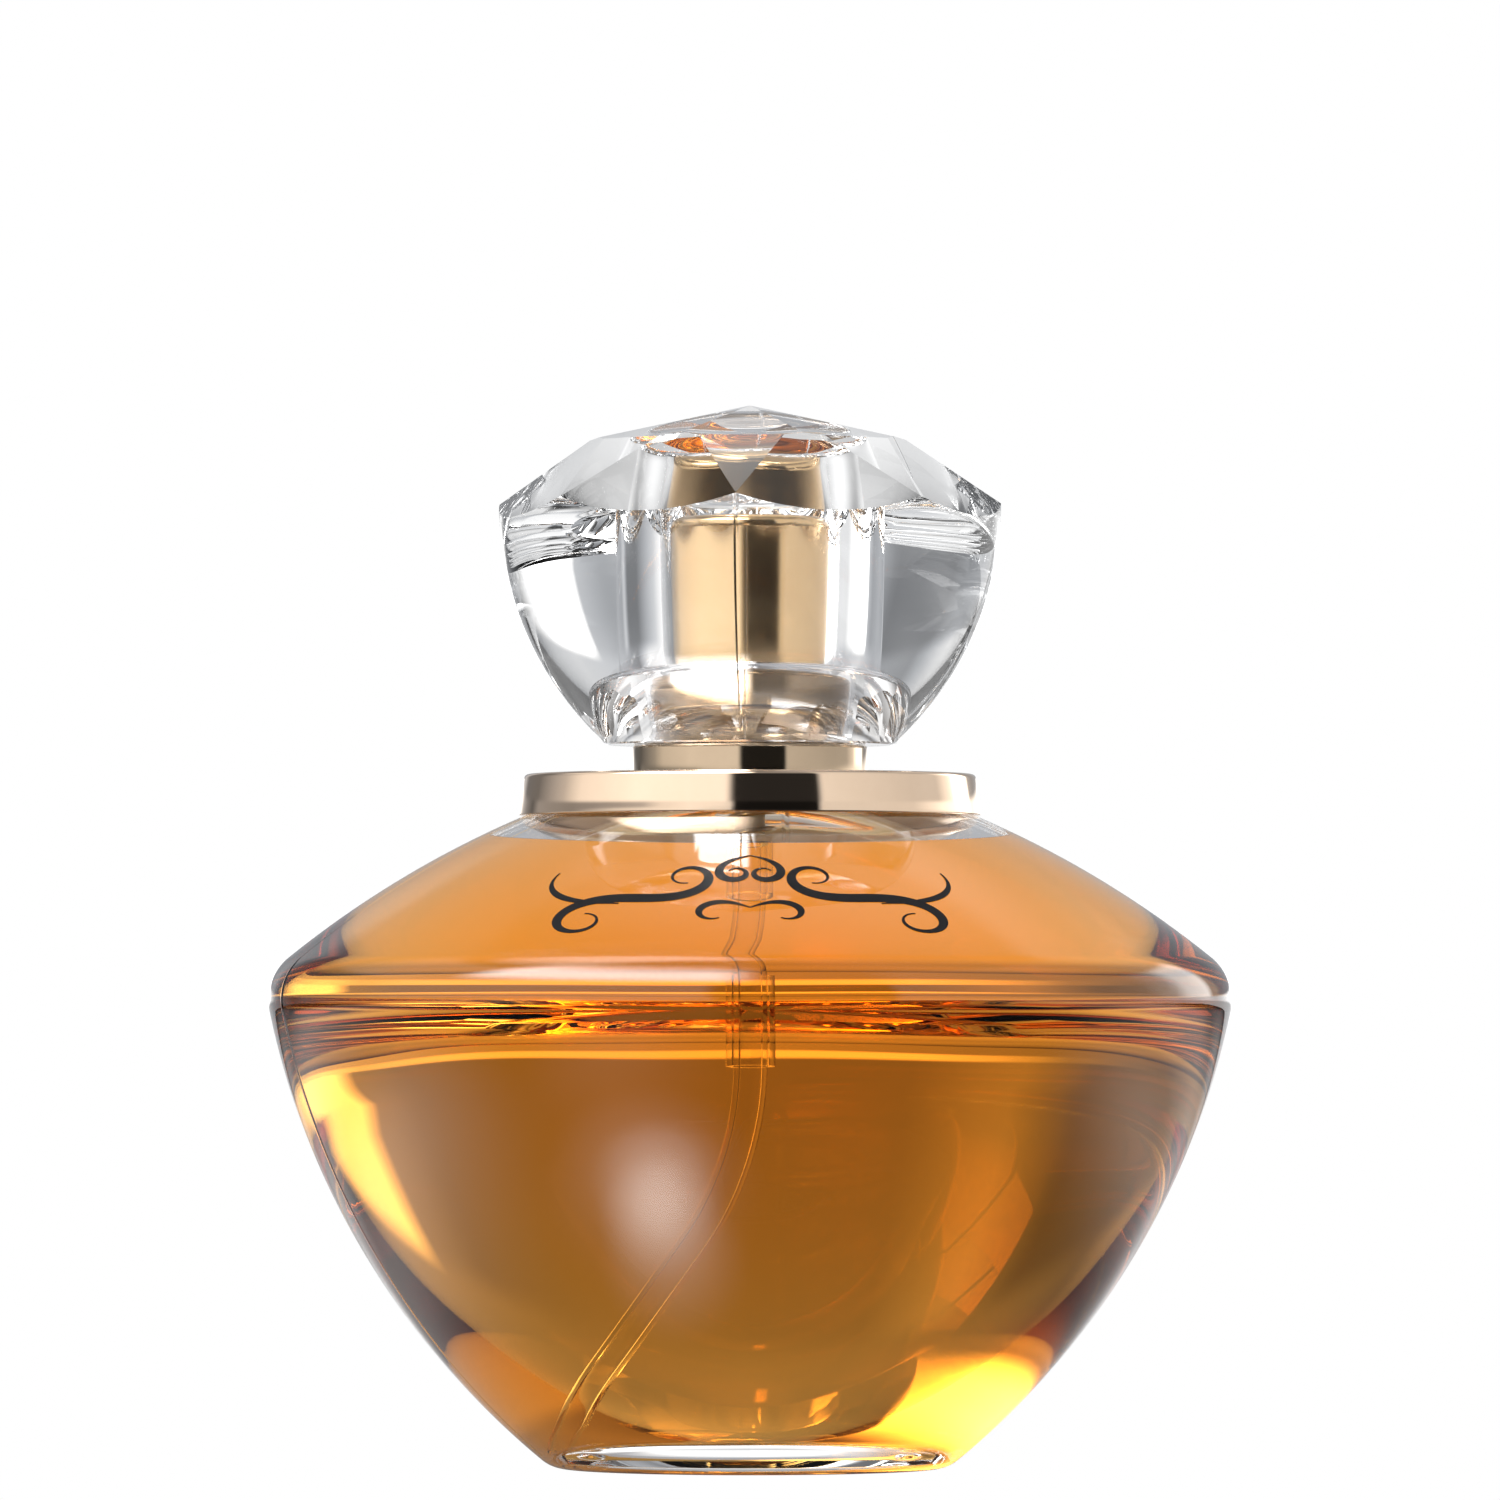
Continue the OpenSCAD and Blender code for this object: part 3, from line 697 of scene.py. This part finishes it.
def make_cap():
    side_c = (CAP_R - CAP_SIDE_R, RIM_Z)
    start = math.degrees(math.asin((CAP_FOOT_Z + 0.5 - side_c[1]) / CAP_SIDE_R))
    side = arc(side_c, CAP_SIDE_R, start, 0, 90)
    foot_r = side[0][0]
    outline = chain(
        [(CHAMBER_R + 0.2, CAP_FOOT_Z), (foot_r - 0.7, CAP_FOOT_Z), (foot_r - 0.3, CAP_FOOT_Z + 0.12)],
        side,
        run((CAP_R, RIM_Z), (CAP_R, TIP_Z + 1), 3),
        [(0.0, TIP_Z + 1)],
    )

    def part_line(i, r, z, turn):
        off = (turn - PART_LINE_TURNS[0] + 90) % 180 - 90
        raised = 5 < r and CAP_FOOT_Z + 1 < z
        return r + (PART_LINE_HEIGHT * math.exp(-((off / PART_LINE_WIDTH) ** 2)) if raised else 0.0), z

    columns = turns(CAP_COLUMNS, PART_LINE_TURNS, 3 * PART_LINE_WIDTH)
    shell = lathe("cap_clear", outline, columns, None, part_line)
    work = bmesh.new()
    work.from_mesh(shell.data)
    for point, normal in facet_planes():
        everything = work.verts[:] + work.edges[:] + work.faces[:]
        cut = bmesh.ops.bisect_plane(
            work, geom=everything, plane_co=point, plane_no=normal, clear_outer=True
        )
        rim = [e for e in cut["geom_cut"] if isinstance(e, bmesh.types.BMEdge) and e.is_boundary]
        bmesh.ops.holes_fill(work, edges=rim, sides=0)
    bore_foot_z = CHAMBER_TOP_Z + CAP_BORE_LEAD
    inner = chain(
        [(CHAMBER_R + 0.2, CAP_FOOT_Z), (CHAMBER_R, CAP_FOOT_Z + 0.2)],
        run((CHAMBER_R, CAP_FOOT_Z + 0.2), (CHAMBER_R, CHAMBER_TOP_Z - CHAMBER_ROUND), 8),
        rounded((CHAMBER_R, CHAMBER_TOP_Z), CHAMBER_ROUND, 0, 90, 8),
        arc((CAP_BORE_R + CAP_BORE_LEAD, bore_foot_z), CAP_BORE_LEAD, -90, -180, 5),
        run((CAP_BORE_R, bore_foot_z), (CAP_BORE_R, CAP_BORE_TOP_Z - CAP_BORE_ROUND), 12),
        rounded((CAP_BORE_R, CAP_BORE_TOP_Z), CAP_BORE_ROUND, 0, 90, 6),
        [(3.0, CAP_BORE_TOP_Z), (0.0, CAP_BORE_TOP_Z)],
    )
    cavity_shell = lathe("cap_cavity", inner, turns(CAP_COLUMNS))
    extra = bmesh.new()
    extra.from_mesh(cavity_shell.data)
    bmesh.ops.reverse_faces(extra, faces=extra.faces[:])
    extra.to_mesh(cavity_shell.data)
    extra.free()
    work.from_mesh(cavity_shell.data)
    bpy.data.objects.remove(cavity_shell)
    bmesh.ops.remove_doubles(work, verts=work.verts[:], dist=1e-7)
    bmesh.ops.recalc_face_normals(work, faces=work.faces[:])
    for face in work.faces:
        face.smooth = len(face.verts) <= 4 and face.calc_area() < LARGEST_SMOOTH_FACE
    work.to_mesh(shell.data)
    work.free()
    mark_sharp(shell, 12)
    use(shell, acrylic)
    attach(shell, "cap")
    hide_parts("cap_crown")


# ---------------------------------------------------------------- carried-over CAD nodes
def finish_cad_nodes():
    looks = {
        "pump_housing": tube_clear, "inlet_ball": glass_dry,
        "pump_piston": white_plastic, "pump_stem": white_plastic, "stem_seal": dark_rubber,
        "housing_lid": white_plastic, "neck_gasket": dark_rubber, "crimp_ferrule": aluminium,
        "ring_insert": beige_plastic, "collar_insert": beige_plastic, "actuator_core": white_plastic,
        "actuator_sleeve": warm_gold, "spray_nozzle": white_plastic, "cap_liner": liner_clear,
    }
    for name, material in looks.items():
        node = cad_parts[name]
        for i in range(max(1, len(node.material_slots))):
            node.material_slots[i].material = material


# ---------------------------------------------------------------- studio
# Pools of light painted on the table as its own glow, as (x, y, radius, brightness), in millimetres.
# Between them it is nearly dark.
TABLE_GLOWS = (
    (0, 110, 150, 0.88),
    (10, 330, 330, 0.85),
    (-420, -120, 360, 0.8),
    (450, 0, 360, 1.2),
    (-16, -46, 13, 4.5),
    (-19, -53, 16, 3.0),
    (-12, -39, 13, 1.8),
    (-22, -54, 26, 1.3),
    (-45, -82, 40, 0.45),
    (-78, -5, 60, 1.4),
    (-190, 90, 170, 1.0),
    (190, 90, 170, 0.9),
    (100, 10, 60, 0.8),
)
TABLE_DARK = 0.05

# The studio round the object: for each band of elevation its top edge and the width of that edge, then
# the brightness by azimuth. Azimuth 0 is the camera's side and 90 is the object's right, all in degrees.
STUDIO = (
    (-0.4, 1.0, (
        (-180, 0.85), (-163, 0.60), (-150, 0.35), (-140, 0.20), (-132, 0.42), (-100, 0.35),
        (-70, 0.95), (-30, 1.30), (-10, 1.00), (-8, 0.01), (34, 0.01), (36, 0.95),
        (90, 0.95), (130, 1.40), (150, 1.00), (165, 0.85), (180, 0.85),
    )),
    (2.1, 1.3, (
        (-180, 2.50), (-170, 2.40), (-163, 1.30), (-158, 0.60), (-150, 0.32), (-140, 0.15),
        (-132, 0.42), (-100, 0.35), (-85, 0.40), (-70, 0.50), (-55, 0.62), (-45, 1.10),
        (-30, 1.30), (-14, 1.20), (-9, 1.00), (-8, 0.01), (34, 0.01), (36, 0.95),
        (90, 0.95), (105, 1.40), (120, 2.00), (140, 2.60), (148, 1.60), (160, 2.10),
        (180, 2.30),
    )),
    (28, 5, (
        (-180, 0.46), (-170, 0.44), (-165, 0.62), (-162, 0.66), (-158, 0.42), (-154, 0.22),
        (-135, 0.22), (-122, 0.45), (-108, 0.70), (-95, 1.20), (-60, 1.50), (-12, 1.40),
        (-8, 0.03), (34, 0.03), (37, 1.05), (90, 0.85), (110, 0.85), (122, 1.60),
        (130, 3.80), (142, 3.40), (146, 0.60), (154, 0.42), (172, 0.50), (180, 0.46),
    )),
    (52, 6, (
        (-180, 0.55), (-168, 0.50), (-140, 0.30), (-132, 0.60), (-120, 1.00), (-60, 1.20),
        (-12, 0.80), (-5, 0.30), (33, 0.40), (45, 1.00), (90, 0.80), (110, 0.60),
        (135, 0.80), (150, 0.60), (165, 0.50), (180, 0.55),
    )),
    (90, 8, (
        (-180, 0.18), (-100, 0.20), (-60, 0.32), (0, 0.20), (60, 0.60), (110, 0.45),
        (140, 0.12), (180, 0.18),
    )),
)
BRIGHTEST = 4.0  # the scale of the studio's colour ramps

# Lamps as (strength, soft edge, sides), each side being (x, y, z, limit): the lamp fills the directions
# whose product with (x, y, z) is over the limit on every side.
LAMPS = (
    (4.0, 0.16, ((-1, 0, 0, 0.00), (-0.6, -1, 0, -0.02), (0, 0, 1, 0.88), (0, 1, 0, -0.10))),
    (13.0, 0.20, ((-1, 0, 0, 0.04), (0, 0, 1, 0.60), (0, -1, 0, 0.10), (0, 0, -1, -0.86))),
    (10.0, 0.03, (
        (1, 0.105, 0, -0.030), (-1, -0.105, 0, -0.030), (0, 0, 1, 0.77), (0, 0, -1, -0.89), (0, 1, 0, 0),
    )),
    (0.9, 0.10, ((0.07, 0.50, 0.865, 0.965),)),
)
SHADE_TINT = (0.92, 0.95, 1.0)
FLOOR_SIZE, FLOOR_DROP = 0.55, 0.00002  # metres: half the table's side, and how far it is under the object

CAMERA_PLACE, CAMERA_AIM = (0.0, -0.920, 0.035), (0, 0, 0.0574)
LENS, SENSOR = 276.0, 36.0


def math_node(nodes, links, operation, first, second=None):
    node = nodes.new("ShaderNodeMath")
    node.operation = operation
    for socket, value in zip(node.inputs, (first, second)):
        if isinstance(value, (int, float)):
            socket.default_value = value
        elif value is not None:
            links.new(value, socket)
    return node.outputs[0]


def ramp_node(nodes, links, value, low, high, top=1.0):
    """0 at low and top at high, with a soft start and end."""
    node = nodes.new("ShaderNodeMapRange")
    node.interpolation_type = "SMOOTHSTEP"
    node.inputs["From Min"].default_value = low
    node.inputs["From Max"].default_value = high
    node.inputs["To Max"].default_value = top
    links.new(value, node.inputs["Value"])
    return node.outputs["Result"]


def white_for_camera(nodes, links, strength):
    """What the camera sees directly is plain white."""
    mix = nodes.new("ShaderNodeMix")
    links.new(nodes.new("ShaderNodeLightPath").outputs["Is Camera Ray"], mix.inputs["Factor"])
    links.new(strength, mix.inputs["A"])
    mix.inputs["B"].default_value = 1.0
    return mix.outputs["Result"]


def make_floor():
    mesh = bpy.data.meshes.new("studio_floor")
    corners = [(-FLOOR_SIZE, -FLOOR_SIZE, 0), (FLOOR_SIZE, -FLOOR_SIZE, 0)]
    corners += [(FLOOR_SIZE, FLOOR_SIZE, 0), (-FLOOR_SIZE, FLOOR_SIZE, 0)]
    mesh.from_pydata(corners, [], [(0, 1, 2, 3)])
    floor = bpy.data.objects.new("studio_floor", mesh)
    bpy.context.scene.collection.objects.link(floor)
    floor.location.z = -FLOOR_DROP
    material, nodes, links, shader = new_material("floor_white_and_painted_light")
    coords = nodes.new("ShaderNodeTexCoord")
    total = TABLE_DARK
    for x, y, radius, brightness in TABLE_GLOWS:
        distance = nodes.new("ShaderNodeVectorMath")
        distance.operation = "DISTANCE"
        distance.inputs[1].default_value = (x * MM, y * MM, 0)
        links.new(coords.outputs["Object"], distance.inputs[0])
        glow = ramp_node(nodes, links, distance.outputs["Value"], radius * MM, 0.0, brightness)
        total = math_node(nodes, links, "ADD", glow, total)
    # The table is black with a white glow: plain white for the camera, and painted pools of light and dark
    # for everything else.
    shader.inputs["Base Color"].default_value = (0, 0, 0, 1)
    shader.inputs["Specular IOR Level"].default_value = 0.0
    shader.inputs["Emission Color"].default_value = (1, 1, 1, 1)
    links.new(white_for_camera(nodes, links, total), shader.inputs["Emission Strength"])
    use(floor, material)


def make_world():
    """A white studio for the camera. What the object reflects is soft boxes with dark gaps between."""
    world = bpy.data.worlds.new("studio")
    world.use_nodes = True
    bpy.context.scene.world = world
    nodes, links = world.node_tree.nodes, world.node_tree.links
    nodes.clear()

    def calc(operation, first, second=None):
        return math_node(nodes, links, operation, first, second)

    coords = nodes.new("ShaderNodeTexCoord")
    split = nodes.new("ShaderNodeSeparateXYZ")
    links.new(coords.outputs["Generated"], split.inputs[0])
    x, y, z = split.outputs
    azimuth = calc("DEGREES", calc("ARCTAN2", x, calc("MULTIPLY", y, -1.0)))
    elevation = calc("DEGREES", calc("ARCSINE", z))
    turn = calc("ADD", calc("DIVIDE", azimuth, 360.0), 0.5)
    total, edge = None, None
    for top, width, profile in STUDIO:
        band = nodes.new("ShaderNodeValToRGB")
        points = band.color_ramp.elements
        while len(points) < len(profile):
            points.new(0.5)
        for point, (angle, _) in zip(points, profile):
            point.position = (angle + 180) / 360
        for point, (_, brightness) in zip(points, profile):
            point.color = (*[brightness / BRIGHTEST] * 3, 1)
        links.new(turn, band.inputs["Fac"])
        here = calc("MULTIPLY", band.outputs["Color"], BRIGHTEST)
        if total is None:
            total = here
        else:
            mix = nodes.new("ShaderNodeMix")
            links.new(edge, mix.inputs["Factor"])
            links.new(total, mix.inputs["A"])
            links.new(here, mix.inputs["B"])
            total = mix.outputs["Result"]
        edge = ramp_node(nodes, links, elevation, top - width / 2, top + width / 2)
    for strength, edge_width, sides in LAMPS:
        lamp = strength
        for sx, sy, sz, limit in sides:
            toward = nodes.new("ShaderNodeVectorMath")
            toward.operation = "DOT_PRODUCT"
            toward.inputs[1].default_value = (sx, sy, sz)
            links.new(coords.outputs["Generated"], toward.inputs[0])
            low, high = limit - edge_width / 2, limit + edge_width / 2
            lamp = calc("MULTIPLY", ramp_node(nodes, links, toward.outputs["Value"], low, high), lamp)
        total = calc("ADD", total, lamp)
    total = white_for_camera(nodes, links, total)
    tint = nodes.new("ShaderNodeMixRGB")
    tint.inputs["Color1"].default_value = (*SHADE_TINT, 1)
    tint.inputs["Color2"].default_value = (1, 1, 1, 1)
    links.new(ramp_node(nodes, links, total, 0.4, 1.0), tint.inputs["Fac"])
    back = nodes.new("ShaderNodeBackground")
    links.new(tint.outputs["Color"], back.inputs["Color"])
    links.new(total, back.inputs["Strength"])
    out = nodes.new("ShaderNodeOutputWorld")
    links.new(back.outputs[0], out.inputs["Surface"])


def make_camera():
    data = bpy.data.cameras.new("camera")
    data.sensor_width = SENSOR
    data.lens = LENS
    data.clip_start = 0.01
    camera = bpy.data.objects.new("camera", data)
    bpy.context.scene.collection.objects.link(camera)
    camera.location = CAMERA_PLACE
    aim = Vector(CAMERA_AIM) - camera.location
    camera.rotation_euler = aim.to_track_quat("-Z", "Y").to_euler()
    bpy.context.scene.camera = camera


def set_up_render():
    scene = bpy.context.scene
    scene.view_settings.view_transform = "Standard"
    scene.cycles.max_bounces = 32
    scene.cycles.transmission_bounces = 28
    scene.cycles.glossy_bounces = 12
    scene.cycles.transparent_max_bounces = 16


make_camera()
make_world()
make_floor()
set_up_render()
make_bottle()
make_flourish()
make_liquid()
make_spring()
make_dip_tube()
make_ring()
make_collar()
make_cap()
finish_cad_nodes()
